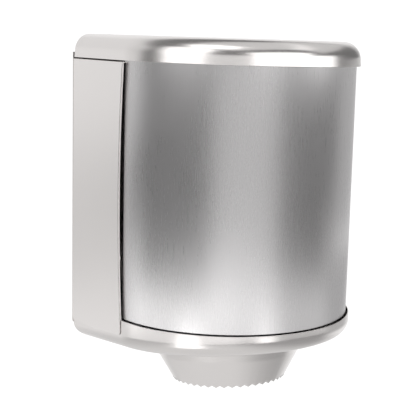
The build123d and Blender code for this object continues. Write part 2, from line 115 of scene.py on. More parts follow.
def share(name, description, default):
    """Plain number property between 0 and 1."""
    return FloatProperty(name=name, description=description, default=default, min=0, max=1, subtype="FACTOR")


class DispenserSheetSizes(bpy.types.PropertyGroup):
    """Gauges, bends and edge rounds of the sheet pieces."""

    sheet: length("Sheet", "Thickness of the cap, pan and side panels", 0.001)
    cover_sheet: length("Cover sheet", "Thickness of the front sheet", 0.0008)
    cap_round: length("Cap round", "Radius of the cap's upper edge", 0.016)
    cap_taper: length("Cap taper", "Draw-in of the cap's skirt", 0.0006)
    pan_round: length("Pan round", "Radius of the pan's lower edge", 0.014)
    pan_depth: length("Pan depth", "Rim to the pan's underside, at the centre of the round front", 0.028)
    floor_slope: FloatProperty(
        name="Floor slope", description="Rise of the pan floor to the front", subtype="ANGLE", default=radians(4.6)
    )
    cover_flange: length("Cover flange", "Width of the bent ends of the front sheet", 0.012)
    cover_bend: length("Cover bend", "Outer radius of the bent ends", 0.0015)
    panel_bow: length("Panel bow", "Hollow of the side panels' front edge", 0.005)
    panel_hem: length("Panel hem", "Width of the folded front edge", 0.006)
    panel_flange: length("Panel flange", "Width of the side panels' top flange", 0.010)
    panel_rear_flange: length("Rear flange", "Width of the side panels' rear flange", 0.015)
    panel_knee: length("Panel knee", "Wall to the point where the lower edge starts to rise", 0.045)
    panel_rise: length("Panel rise", "Rise of the lower edge towards the front", 0.004)
    panel_corner: length("Panel corner", "Radius of the lower front corner", 0.003)
    panel_heel: length("Panel heel", "Radius of the lower corner at the wall", 0.003)
    edge: length("Edge", "Softening of cut edges", 0.0003)
    fold: length("Fold", "Outer radius of the side panels' folds", 0.0007)


class DispenserOutletSizes(bpy.types.PropertyGroup):
    """The cone and the funnel inside it."""

    cone_top: length("Cone top", "Outer radius of the cone at the pan", 0.075)
    cone_knee: length("Cone knee", "Outer radius where the cone starts to taper", 0.0687)
    cone_knee_height: length("Knee height", "Height of the knee above the mouth", 0.027)
    cone_knee_round: length("Knee round", "Radius of the bend at the knee", 0.024)
    cone_mouth: length("Cone mouth", "Outer radius of the mouth", 0.0538)
    cone_drop: length("Cone drop", "Pan underside to the mouth", 0.0415)
    cone_wall: length("Cone wall", "Thickness of the cone", 0.0012)
    forward: length("Forward", "Outlet in front of the centre of the round front", 0.004)
    flange_sheet: length("Flange sheet", "Thickness of the cone's flange", 0.001)
    flange_rear: length("Flange rear", "Wall to the trimmed rear of the flanges", 0.017)
    tooth_depth: length("Tooth depth", "Depth of the notches in the mouth", 0.002)
    teeth: IntProperty(name="Teeth", description="Teeth round the mouth", default=44, min=8)
    guide_wall: length("Guide wall", "Thickness of the funnel", 0.002)
    guide_flange: length("Guide flange", "Width of the funnel's flange", 0.011)
    guide_throat: length("Throat", "Bore radius of the funnel's throat", 0.017)
    guide_throat_top: length("Throat top", "Funnel's flange to the top of the throat", 0.026)
    guide_throat_length: length("Throat length", "Length of the funnel's throat", 0.014)


class DispenserFinishes(bpy.types.PropertyGroup):
    """Colours and gloss."""

    brushed: tint("Brushed steel", "Colour of the front sheet", (0.668, 0.655, 0.658))
    satin: tint("Satin steel", "Colour of the cap, pan, sides and cone", (0.755, 0.728, 0.716))
    pan_tone: share("Pan tone", "Brightness of the pan beside the other satin pieces", 0.95)
    plated: tint("Plated steel", "Colour of brackets, rod and fasteners", (0.55, 0.55, 0.57))
    chrome: tint("Chrome", "Colour of the lock", (0.80, 0.80, 0.81))
    plastic: tint("Guide plastic", "Colour of the funnel", (0.035, 0.035, 0.038))
    nylon: tint("Nylon", "Colour of the hinge bushes", (0.80, 0.79, 0.74))
    rubber: tint("Rubber", "Colour of the buffer", (0.02, 0.02, 0.02))
    brushed_roughness: share("Brushed roughness", "Roughness of the front sheet", 0.28)
    satin_roughness: share("Satin roughness", "Roughness of the cap, pan, sides and cone", 0.18)
    grain: share("Grain", "Strength of the brushed grain", 0.3)


class DispenserStudio(bpy.types.PropertyGroup):
    """Camera and lights."""

    camera_turn: FloatProperty(
        name="Camera turn", description="Where the camera stands, from straight in front", subtype="ANGLE",
        default=radians(-36.413),
    )
    camera_aim: FloatProperty(
        name="Camera aim", description="Turn of the view off the object's axis", subtype="ANGLE", default=-0.02887
    )
    camera_tilt: FloatProperty(
        name="Camera tilt", description="Tilt of the view", subtype="ANGLE", default=radians(-10.095)
    )
    camera_roll: FloatProperty(
        name="Camera roll", description="Roll of the view", subtype="ANGLE", default=radians(1.863)
    )
    camera_distance: length("Camera distance", "Camera to the axis of the round front", 1.0615)
    camera_height: length("Camera height", "Camera above the cap's lower edge", 0.0249)
    shift_across: FloatProperty(
        name="Shift across", description="Picture window beside the optical axis, as a share of its width",
        default=-0.119,
    )
    shift_up: FloatProperty(
        name="Shift up", description="Picture window above the optical axis, as a share of its width", default=0.0595
    )
    lens: FloatProperty(
        name="Lens", description="Focal length in millimetres", default=95.8, subtype="DISTANCE_CAMERA"
    )
    surround: share("Surround", "Brightness of the room around the object", 0.185)
    backdrop: FloatProperty(name="Backdrop", description="Brightness of the floor and backdrop", default=1.05)


GROUPS = {
    "dispenser_sheet": DispenserSheetSizes,
    "dispenser_outlet": DispenserOutletSizes,
    "dispenser_finish": DispenserFinishes,
    "dispenser_studio": DispenserStudio,
}


def settings(name):
    """One of the scene's property groups."""
    return getattr(bpy.context.scene, "dispenser_" + name)


class Value:
    """Shader socket that takes part in Python arithmetic."""

    def __init__(self, finish, socket):
        self.finish = finish
        self.socket = socket

    def math(self, operation, *others):
        sockets = dict(enumerate((self, *others)))
        return self.finish.node("ShaderNodeMath", {"operation": operation}, sockets)

    def __add__(self, other):
        return self.math("ADD", other)

    __radd__ = __add__

    def __mul__(self, other):
        return self.math("MULTIPLY", other)

    __rmul__ = __mul__

    def __sub__(self, other):
        return self.math("SUBTRACT", other)

    def __rsub__(self, other):
        return (self * -1) + other


class Finish:
    """Procedural material around one Principled shader."""

    def __init__(self, name, **constants):
        self.material = bpy.data.materials.new(name)
        self.material.use_nodes = True
        self.tree = self.material.node_tree
        self.shader = self.tree.nodes["Principled BSDF"]
        for socket, value in constants.items():
            self.shader.inputs[socket.replace("_", " ")].default_value = value
        self.place = self.node("ShaderNodeTexCoord", {}, {}, "Object")

    def node(self, kind, options, sockets, output=0):
        """Adds a node, sets its options, then fills its sockets with values or links."""
        node = self.tree.nodes.new(kind)
        for option, value in options.items():
            setattr(node, option, value)
        for key, value in sockets.items():
            self.fill(node.inputs[key], value)
        return Value(self, node.outputs[output])

    def fill(self, socket, value):
        """Links a value to a socket, or sets the socket to a plain number or colour."""
        if isinstance(value, Value):
            self.tree.links.new(value.socket, socket)
        else:
            socket.default_value = value

    def axes(self):
        """The place on the piece as three values."""
        parts = self.node("ShaderNodeSeparateXYZ", {}, {0: self.place})
        outputs = parts.socket.node.outputs
        return [Value(self, outputs[i]) for i in range(3)]

    def vector(self, x, y, z):
        return self.node("ShaderNodeCombineXYZ", {}, {0: x, 1: y, 2: z})

    def noise(self, vector, scale, detail):
        sockets = {"Vector": vector, "Scale": scale, "Detail": detail}
        return self.node("ShaderNodeTexNoise", {}, sockets, "Fac")

    def shade(self, colour, amount):
        """A colour made lighter or darker by a value around 1."""
        grey = self.node("ShaderNodeCombineColor", {}, {0: amount, 1: amount, 2: amount})
        options = {"data_type": "RGBA", "blend_type": "MULTIPLY"}
        return self.node("ShaderNodeMix", options, {0: 1.0, 6: (*colour, 1), 7: grey}, 2)

    def ramp(self, value, start, end, low, high):
        """Soft step of a value between two levels."""
        options = {"interpolation_type": "SMOOTHSTEP"}
        return self.node("ShaderNodeMapRange", options, {0: value, 1: start, 2: end, 3: low, 4: high})

    def set(self, **sockets):
        """Fills sockets of the shader, named with _ for a space."""
        for socket, value in sockets.items():
            self.fill(self.shader.inputs[socket.replace("_", " ")], value)

    def bump(self, height, strength, distance):
        sockets = {"Height": height, "Strength": strength, "Distance": distance}
        self.set(Normal=self.node("ShaderNodeBump", {}, sockets))


def grained_steel(name, colour, roughness, grain, pattern, stretch, edge=None):
    """Steel sheet with brush marks along the pattern's slow direction, and faint handling marks."""
    steel = Finish(name, Metallic=1.0, Anisotropic=stretch)
    streaks = pattern(steel)
    coarse = steel.noise(streaks, scale=1.0, detail=4.0)
    fine = steel.noise(streaks, scale=3.3, detail=2.0)
    brush = coarse * 0.6 + fine * 0.4 - 0.5
    mottle = steel.noise(steel.place, scale=11.0, detail=3.0) - 0.5
    brush_tone, brush_dulling, brush_relief = 0.42 * grain, 0.30 * grain, 0.12 * grain
    mottle_tone, mottle_dulling = 0.05, 0.06
    tone = brush * brush_tone + mottle * mottle_tone + 1.0
    dulling = brush * brush_dulling + mottle * mottle_dulling + roughness
    # An edge function paints highlight and shadow into the base colour and adds roughness
    if edge:
        painted_edge_light, edge_dulling = edge(steel)
        tone = tone * painted_edge_light
        dulling = dulling + edge_dulling
    steel.set(Base_Color=steel.shade(colour, tone), Roughness=dulling)
    steel.bump(brush, strength=brush_relief, distance=0.0004)
    return steel.material


def satin_steel(name, pattern, grain, dulling, tone=1.0, edge=None):
    """Satin sheet with a share of the full grain, and somewhat duller than the plain finish."""
    colours = settings("finish")
    colour = Vector(colours.satin) * tone
    return grained_steel(
        name, colour, colours.satin_roughness + dulling, colours.grain * grain, pattern, SATIN_STRETCH, edge
    )


def fold_highlight_and_lap_shadow(steel):
    """Painted highlight along the side panels' front fold, by a lighter base colour, and painted shadow along their
    lap on the pan, by a much darker base colour; the fold is also made rougher.
    """
    x, _, z = steel.axes()
    fold_inner, fold_outer = OUTLINE_RADIUS - 0.0010, OUTLINE_RADIUS - 0.0004
    painted_shadow_top = RIM_Z - 0.002
    # Strength of the painted highlight on the fold, strength of the painted shadow on the lap, and the added
    # roughness
    brighter, darker, duller = 0.3, 1.2, 0.5
    fold = steel.ramp(x.math("ABSOLUTE"), fold_inner, fold_outer, 1.0, 0.0)
    # Mask for the painted shadow, below the pan rim
    lap = steel.ramp(z, painted_shadow_top, RIM_Z, 1.0, 0.0)
    return fold * (brighter - lap * darker) + 1.0, fold * duller


def turn_round_axis(x, y):
    """Angle round the upright axis of the round front."""
    return x.math("ARCTAN2", AXIS_Y - y)


# The patterns count brush marks per metre or radian, and marks are long where the count is low
def upright_streaks(steel):
    """Marks that run up and down round the front."""
    x, y, z = steel.axes()
    return steel.vector(turn_round_axis(x, y) * (COVER_RADIUS * 1100.0), z * 32.0, 0.0)


def cross_streaks(steel):
    """Marks that run across, for the cap, the pan and plated pieces."""
    x, y, z = steel.axes()
    return steel.vector(x * 22.0, y * 700.0, z * 900.0)


def side_streaks(steel):
    """Marks that run up and down the flat sides."""
    x, y, z = steel.axes()
    return steel.vector(x * 200.0, y * 700.0, z * 14.0)


def ring_streaks(steel):
    """Level marks round the upright axis, for the cone and the lock."""
    x, y, z = steel.axes()
    return steel.vector(turn_round_axis(x, y) * 2.0, z * 800.0, 0.0)


def moulded(name, colour, roughness, texture_scale, depth):
    """Plastic or rubber with a fine moulded skin."""
    skin = Finish(name)
    texture = skin.noise(skin.place, texture_scale, detail=2.0) - 0.5
    cloud = skin.noise(skin.place, scale=40.0, detail=2.0) - 0.5
    cloud_tone, texture_dulling = 0.25, 0.2
    skin.set(Base_Color=skin.shade(colour, cloud * cloud_tone + 1.0))
    skin.set(Roughness=texture * texture_dulling + roughness)
    skin.bump(texture, strength=0.3, distance=depth)
    return skin.material


def begin(name, place):
    """New piece in edit mode with one selected vertex, ready to draw from."""
    bpy.ops.object.select_all(action="DESELECT")
    bpy.ops.mesh.primitive_plane_add(size=0.01, location=place)
    piece = bpy.context.object
    piece.name = name
    piece.data.name = name
    bpy.ops.object.transform_apply(location=True, rotation=True, scale=True)
    bpy.ops.object.mode_set(mode="EDIT")
    bpy.context.tool_settings.mesh_select_mode = (True, False, False)
    bpy.ops.mesh.select_all(action="SELECT")
    bpy.ops.mesh.merge(type="CENTER")
    return piece


def draw(*step):
    """Draws a straight edge from the selected vertex."""
    bpy.ops.mesh.extrude_vertices_move(TRANSFORM_OT_translate={"value": step})


def turn(angle, steps, centre, axis=(0, 0, 1)):
    """Spins what is selected by the right-hand rule; the operator itself counts the other way."""
    bpy.ops.mesh.spin(steps=steps, angle=-angle, center=centre, axis=axis)


def push(*step):
    """Extrudes the selected edges or faces."""
    bpy.ops.mesh.extrude_region_move(TRANSFORM_OT_translate={"value": step})


def pick(test, kind="VERT"):
    """Selects the vertices, edges or faces whose every corner passes the test."""
    bpy.context.tool_settings.mesh_select_mode = (kind == "VERT", kind == "EDGE", kind == "FACE")
    bpy.ops.mesh.select_all(action="DESELECT")
    mesh = bpy.context.edit_object.data
    shape = bmesh.from_edit_mesh(mesh)
    if kind == "VERT":
        for vertex in shape.verts:
            vertex.select = test(vertex.co)
    else:
        for part in shape.edges if kind == "EDGE" else shape.faces:
            part.select = all(test(vertex.co) for vertex in part.verts)
    shape.select_flush_mode()
    bmesh.update_edit_mesh(mesh)


def keep_edges(face_count):
    """Leaves only those selected edges that belong to this many faces."""
    mesh = bpy.context.edit_object.data
    shape = bmesh.from_edit_mesh(mesh)
    for edge in shape.edges:
        if edge.select and len(edge.link_faces) != face_count:
            edge.select = False
    shape.select_flush_mode()
    bmesh.update_edit_mesh(mesh)


def near(a, b):
    """Whether two coordinates are the same."""
    return abs(a - b) < TOUCH


def merge():
    """Makes one point of points in the same place, and leaves all selected."""
    bpy.ops.mesh.select_all(action="SELECT")
    bpy.ops.mesh.remove_doubles(threshold=TOUCH)


def clean():
    """Merges doubles and points the faces outwards."""
    merge()
    bpy.ops.mesh.normals_make_consistent(inside=False)


def face_outwards(rank, outwards):
    """Turns an open sheet's faces so that the one of the highest rank looks outwards."""
    bpy.ops.mesh.select_all(action="SELECT")
    bpy.ops.mesh.normals_make_consistent(inside=False)
    shape = bmesh.from_edit_mesh(bpy.context.edit_object.data)
    shape.normal_update()
    if max(shape.faces, key=rank).normal.dot(outwards) < 0:
        bpy.ops.mesh.flip_normals()


def apply_all(piece):
    """Applies the piece's modifiers in order."""
    for modifier in list(piece.modifiers):
        bpy.ops.object.modifier_apply(modifier=modifier.name)


def finish_sheet(piece, sheet, edge):
    """Gives a drawn surface its gauge, to the inside, and soft cut edges."""
    bpy.ops.object.mode_set(mode="OBJECT")
    gauge = piece.modifiers.new("gauge", "SOLIDIFY")
    gauge.thickness = sheet
    gauge.offset = -1
    gauge.use_even_offset = True
    soft = piece.modifiers.new("edges", "BEVEL")
    soft.width = edge
    soft.segments = SOFT_EDGE_STEPS
    soft.limit_method = "ANGLE"
    soft.angle_limit = SOFTENED_ANGLE
    apply_all(piece)
    bpy.ops.object.shade_smooth_by_angle(angle=SMOOTH_ANGLE)
    even = piece.modifiers.new("even", "WEIGHTED_NORMAL")
    even.keep_sharp = True
    apply_all(piece)


def hand_over(piece, material, body, slot, *nodes):
    """Gives a piece its finish and puts it in the place of its CAD nodes."""
    piece.data.materials.clear()
    piece.data.materials.append(material)
    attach(piece, body)
    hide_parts(*nodes)


def floor_plane():
    """A point of the sloping pan underside and the direction down from it."""
    sizes = settings("sheet")
    slope = sizes.floor_slope
    return Vector((0, AXIS_Y, RIM_Z - sizes.pan_depth)), Vector((0, -sin(slope), -cos(slope)))


def on_floor(co):
    """Whether a point lies on the pan's underside."""
    centre, down = floor_plane()
    return abs((co - centre).dot(down)) < TOUCH


def lean():
    """Leans an outlet piece, drawn upright, with the pan floor."""
    bpy.ops.mesh.select_all(action="SELECT")
    centre = floor_plane()[0]
    bpy.ops.transform.rotate(
        value=settings("sheet").floor_slope, orient_axis="X", orient_type="GLOBAL", center_override=centre
    )


def outlet_centre_y():
    """The middle of the outlet, from front to rear."""
    return AXIS_Y - settings("outlet").forward


def trim_flange(flange_z):
    """Takes a flange back from the rounded rear of the pan."""
    pick(lambda co: near(co.z, flange_z), "FACE")
    rear = (0, -settings("outlet").flange_rear, 0)
    bpy.ops.mesh.bisect(plane_co=rear, plane_no=(0, 1, 0), clear_outer=True)


class OpTopCap(bpy.types.Operator):
    """Pressed cap with a rounded edge and a rear wall"""

    bl_idname = "dispenser.top_cap"
    bl_label = "Top cap"

    def execute(self, context):
        sizes = settings("sheet")
        piece = self.draw_skirt(sizes)
        pick(lambda co: near(co.z, CAP_HIGH.z), "EDGE")
        bpy.ops.mesh.edge_face_add()
        pick(lambda co: near(co.y, CAP_HIGH.y), "EDGE")
        bpy.ops.mesh.edge_face_add()
        clean()
        pick(lambda co: near(co.z, CAP_HIGH.z), "FACE")
        top_margin = sizes.cap_round / 4
        bpy.ops.mesh.inset(thickness=top_margin, depth=0)
        finish_sheet(piece, sizes.sheet, sizes.edge)
        steel = satin_steel("cap_steel", cross_streaks, grain=0.5, dulling=0.05)
        hand_over(piece, steel, "cover", "satin_sheet", "top_cap")
        return {"FINISHED"}

    @staticmethod
    def draw_skirt(sizes):
        """Half-round skirt with the rounded upper edge, open at the top and the rear."""
        taper, edge_round = sizes.cap_taper, sizes.cap_round
        round_z = CAP_HIGH.z - edge_round
        piece = begin("cap_shell", (-OUTLINE_RADIUS, AXIS_Y, CAP_LOW.z))
        draw(taper, 0, round_z - CAP_LOW.z)
        turn(pi / 2, EDGE_ROUND_STEPS, (-OUTLINE_RADIUS + taper + edge_round, AXIS_Y, round_z), (0, 1, 0))
        bpy.ops.mesh.select_all(action="SELECT")
        turn(pi, OUTLINE_STEPS, (0, AXIS_Y, 0))
        for side in (-1, 1):
            pick(lambda co: near(co.y, AXIS_Y) and co.x * side > 0, "EDGE")
            push(0, CAP_HIGH.y - AXIS_Y, 0)
        return piece


class OpBottomPan(bpy.types.Operator):
    """Bottom pan with a rounded lower edge and a round hole for the cone"""

    bl_idname = "dispenser.bottom_pan"
    bl_label = "Bottom pan"

    def execute(self, context):
        sizes = settings("sheet")
        piece = self.draw_wall(sizes)
        centre, down = floor_plane()
        bpy.ops.mesh.select_all(action="SELECT")
        bpy.ops.mesh.bisect(plane_co=centre, plane_no=down, clear_outer=True, use_fill=True)
        pick(on_floor, "EDGE")
        bpy.ops.mesh.bevel(offset=sizes.pan_round, segments=EDGE_ROUND_STEPS, clamp_overlap=False)
        pick(on_floor, "FACE")
        bpy.ops.mesh.delete(type="FACE")
        outlet = settings("outlet")
        across = Vector((0, down.z, -down.y))
        bpy.ops.mesh.primitive_circle_add(
            vertices=HOLE_STEPS, radius=outlet.cone_top, location=centre + across * outlet.forward,
            rotation=(-sizes.floor_slope, 0, 0),
        )
        pick(on_floor, "EDGE")
        bpy.ops.mesh.fill(use_beauty=True)
        clean()
        finish_sheet(piece, sizes.sheet, sizes.edge)
        pan_tone = settings("finish").pan_tone
        steel = satin_steel("pan_steel", cross_streaks, grain=0.5, dulling=0.06, tone=pan_tone)
        hand_over(piece, steel, "housing", "satin_sheet", "bottom_pan")
        return {"FINISHED"}

    @staticmethod
    def draw_wall(sizes):
        """Upright wall on the plan outline, reaching below the floor."""
        rear_y = PAN_HIGH.y
        piece = begin("pan_shell", (PAN_RADIUS, rear_y, RIM_Z))
        draw(-2 * PAN_RADIUS, 0, 0)
        draw(0, AXIS_Y - rear_y, 0)
        turn(pi, OUTLINE_STEPS, (0, AXIS_Y, RIM_Z))
        draw(0, rear_y - AXIS_Y, 0)
        merge()
        push(0, 0, -2 * sizes.pan_depth)
        return piece


class OpFrontCover(bpy.types.Operator):
    """Round front sheet with both ends bent inwards"""

    bl_idname = "dispenser.front_cover"
    bl_label = "Front cover"

    def execute(self, context):
        sizes = settings("sheet")
        end_y, low = COVER_HIGH.y, COVER_LOW.z
        bend = sizes.cover_bend
        bend_x = COVER_RADIUS - bend
        flange = sizes.cover_flange - bend
        tuck = end_y - bend - AXIS_Y
        piece = begin("cover_sheet", (-bend_x + flange, end_y, low))
        draw(-flange, 0, 0)
        turn(pi / 2, BEND_STEPS, (-bend_x, end_y - bend, low))
        draw(0, -tuck, 0)
        turn(pi, COVER_STEPS, (0, AXIS_Y, low))
        draw(0, tuck, 0)
        turn(pi / 2, BEND_STEPS, (bend_x, end_y - bend, low))
        draw(-flange, 0, 0)
        bpy.ops.mesh.select_all(action="SELECT")
        push(0, 0, COVER_HIGH.z - low)
        merge()
        face_outwards(lambda face: -face.calc_center_median().y, Vector((0, -1, 0)))
        finish_sheet(piece, sizes.cover_sheet, sizes.edge * THIN_SHEET_EDGE)
        colours = settings("finish")
        steel = grained_steel(
            "front_steel", colours.brushed, colours.brushed_roughness, colours.grain, upright_streaks, BRUSHED_STRETCH
        )
        hand_over(piece, steel, "cover", "brushed_sheet", "front_cover")
        return {"FINISHED"}


class OpSidePanels(bpy.types.Operator):
    """Flat sides with a hollow, hemmed front edge and flanges along the top and the wall"""

    bl_idname = "dispenser.side_panels"
    bl_label = "Side panels"

    def execute(self, context):
        # The side panels' finish has a painted highlight on the front fold and a painted shadow on the lap over the
        # pan
        steel = satin_steel("side_steel_painted_edge_light", side_streaks, grain=0.6, dulling=0.06, edge=fold_highlight_and_lap_shadow)
        for side, word in ((-1, "left"), (1, "right")):
            piece = self.build(side, word)
            hand_over(piece, steel, "housing", "satin_sheet", f"{word}_side_panel")
        return {"FINISHED"}

    def build(self, side, word):
        """One side panel; side is -1 for the left one."""
        sizes = settings("sheet")
        outer = side * OUTLINE_RADIUS
        piece = self.draw_outline(sizes, outer, f"{word}_panel_sheet")
        pick(lambda co: near(co.z, PANEL_HIGH.z), "EDGE")
        push(-side * sizes.panel_flange, 0, 0)
        pick(lambda co: near(co.x, outer) and near(co.y, PANEL_HIGH.y), "EDGE")
        push(-side * sizes.panel_rear_flange, 0, 0)
        bow_y = AXIS_Y + sizes.panel_bow
        pick(lambda co: near(co.x, outer) and co.y < bow_y + TOUCH and co.z > RIM_Z - TOUCH, "EDGE")
        keep_edges(1)
        push(-side * HEM_WIDTH * sizes.sheet, 0, 0)
        push(0, sizes.panel_hem, 0)
        merge()
        pick(lambda co: near(co.x, outer), "EDGE")
        keep_edges(2)
        bpy.ops.mesh.bevel(offset=sizes.fold, segments=FOLD_STEPS)
        face_outwards(lambda face: face.calc_area(), Vector((side, 0, 0)))
        finish_sheet(piece, sizes.sheet, sizes.edge)
        return piece

    @staticmethod
    def draw_outline(sizes, outer, name):
        """Flat side, drawn from the top of the hollow front edge down and round to the wall."""
        top, low = PANEL_HIGH.z, PANEL_LOW.z
        front, rear = AXIS_Y, PANEL_HIGH.y
        corner, heel, knee = sizes.panel_corner, sizes.panel_heel, sizes.panel_knee
        front_low = low + sizes.panel_rise
        half = (top - RIM_Z) / 2
        bow_radius = (half**2 + sizes.panel_bow**2) / (2 * sizes.panel_bow)
        bow_centre_y = front + sizes.panel_bow - bow_radius
        bow_angle = 2 * asin(half / bow_radius)
        slope = atan(-sizes.panel_rise / (front + knee))
        piece = begin(name, (outer, front, top))
        turn(-bow_angle, BOW_STEPS, (outer, bow_centre_y, (top + RIM_Z) / 2), (1, 0, 0))
        draw(0, 0, front_low + corner - RIM_Z)
        turn(pi / 2 - slope, BEND_STEPS, (outer, front + corner, front_low + corner), (1, 0, 0))
        shape = bmesh.from_edit_mesh(piece.data)
        corner_end = next(vertex.co.copy() for vertex in shape.verts if vertex.select)
        draw(0, -knee - corner_end.y, low - corner_end.z)
        draw(0, rear + knee - heel, 0)
        turn(pi / 2, HEEL_STEPS, (outer, rear - heel, low + heel), (1, 0, 0))
        draw(0, 0, top - low - heel)
        bpy.ops.mesh.select_all(action="SELECT")
        bpy.ops.mesh.edge_face_add()
        return piece


class OpOutletCone(bpy.types.Operator):
    """Tapered outlet with a flange on the pan floor and teeth round its mouth"""

    bl_idname = "dispenser.outlet_cone"
    bl_label = "Outlet cone"

    def execute(self, context):
        sizes = settings("outlet")
        centre = floor_plane()[0]
        outlet_y = outlet_centre_y()
        floor_z = centre.z + settings("sheet").sheet
        mouth_z = centre.z - sizes.cone_drop
        knee_z = mouth_z + sizes.cone_knee_height
        flange = CONE_HIGH.x
        piece = begin("cone_shell", (flange, outlet_y, floor_z))
        draw(sizes.cone_top - flange, 0, 0)
        upper = Vector((sizes.cone_knee - sizes.cone_top, 0, knee_z - floor_z))
        lower = Vector((sizes.cone_mouth - sizes.cone_knee, 0, mouth_z - knee_z))
        bend = upper.angle(lower)
        trim = sizes.cone_knee_round * tan(bend / 2)
        draw(*(upper - upper.normalized() * trim))
        start = Vector((sizes.cone_knee, outlet_y, knee_z)) - upper.normalized() * trim
        across = Vector((upper.z, 0, -upper.x)).normalized()
        turn(bend, KNEE_STEPS, start + across * sizes.cone_knee_round, (0, 1, 0))
        tooth_ring = lower * (2 * sizes.tooth_depth / sizes.cone_knee_height)
        draw(*(lower - lower.normalized() * trim - tooth_ring))
        draw(*tooth_ring)
        bpy.ops.mesh.select_all(action="SELECT")
        turn(2 * pi, sizes.teeth * TOOTH_STEPS, (0, outlet_y, 0))
        clean()
        self.cut_teeth(sizes, outlet_y, mouth_z)
        trim_flange(floor_z)
        lean()
        finish_sheet(piece, sizes.cone_wall, settings("sheet").edge * THIN_SHEET_EDGE)
        steel = satin_steel("cone_steel", ring_streaks, grain=0.5, dulling=0.04)
        hand_over(piece, steel, "housing", "satin_sheet", "outlet_cone")
        return {"FINISHED"}

    @staticmethod
    def cut_teeth(sizes, outlet_y, mouth_z):
        """Raises the mouth between the teeth."""
        pitch = 2 * pi / sizes.teeth

        def phase_of(co):
            """Step of the tooth that a point of the mouth belongs to; the tip is 0."""
            angle = Vector((co.x, co.y - outlet_y)).angle_signed(Vector((1, 0))) % pitch
            return round(TOOTH_STEPS * angle / pitch) % TOOTH_STEPS

        for phase, lift in ((1, 0.5), (2, 1.0), (3, 0.5)):
            pick(lambda co: near(co.z, mouth_z) and phase_of(co) == phase)
            bpy.ops.transform.translate(value=(0, 0, sizes.tooth_depth * lift))


class OpPaperGuide(bpy.types.Operator):
    """Plastic funnel inside the cone"""

    bl_idname = "dispenser.paper_guide"
    bl_label = "Paper guide"

    def execute(self, context):
        sizes = settings("outlet")
        rim = GUIDE_HIGH.x
        bend = rim - sizes.guide_flange
        outlet_y = outlet_centre_y()
        high = floor_plane()[0].z + settings("sheet").sheet + sizes.flange_sheet + sizes.guide_wall
        piece = begin("guide_funnel", (rim, outlet_y, high))
        draw(bend - rim, 0, 0)
        draw(sizes.guide_throat - bend, 0, -sizes.guide_throat_top)
        draw(0, 0, -sizes.guide_throat_length)
        bpy.ops.mesh.select_all(action="SELECT")
        turn(2 * pi, GUIDE_STEPS, (0, outlet_y, 0))
        merge()
        trim_flange(high)
        lean()
        face_outwards(lambda face: face.calc_center_median().z, Vector((0, 0, 1)))
        finish_sheet(piece, sizes.guide_wall, settings("sheet").edge)
        colour = settings("finish").plastic
        plastic = moulded("guide_plastic", colour, roughness=0.45, texture_scale=900.0, depth=0.00008)
        hand_over(piece, plastic, "housing", "guide_plastic", "paper_guide")
        return {"FINISHED"}


class OpHardware(bpy.types.Operator):
    """Finishes of the back plate, hinge, lock and other small pieces"""

    bl_idname = "dispenser.hardware"
    bl_label = "Hinge, lock and fasteners"

    def execute(self, context):
        colours = settings("finish")
        finishes = {
            "satin_sheet": satin_steel("back_steel", side_streaks, grain=0.6, dulling=0.08),
            "plated_steel": grained_steel(
                "plated_steel", colours.plated, roughness=0.38, grain=0.3, pattern=cross_streaks, stretch=0.0
            ),
            "lock_chrome": grained_steel(
                "lock_chrome", colours.chrome, roughness=0.16, grain=0.1, pattern=ring_streaks, stretch=0.0
            ),
            "bush_nylon": moulded(
                "bush_nylon", colours.nylon, roughness=0.5, texture_scale=1400.0, depth=0.00005
            ),
            "buffer_rubber": moulded(
                "buffer_rubber", colours.rubber, roughness=0.75, texture_scale=1600.0, depth=0.0001
            ),
        }
        for part in frame["record"]["subparts"]:
            node = frame["nodes"][part["node"]]
            if node.hide_render:
                continue
            node.data.materials.clear()
            node.data.materials.append(finishes[part["material_slot"]])
        return {"FINISHED"}


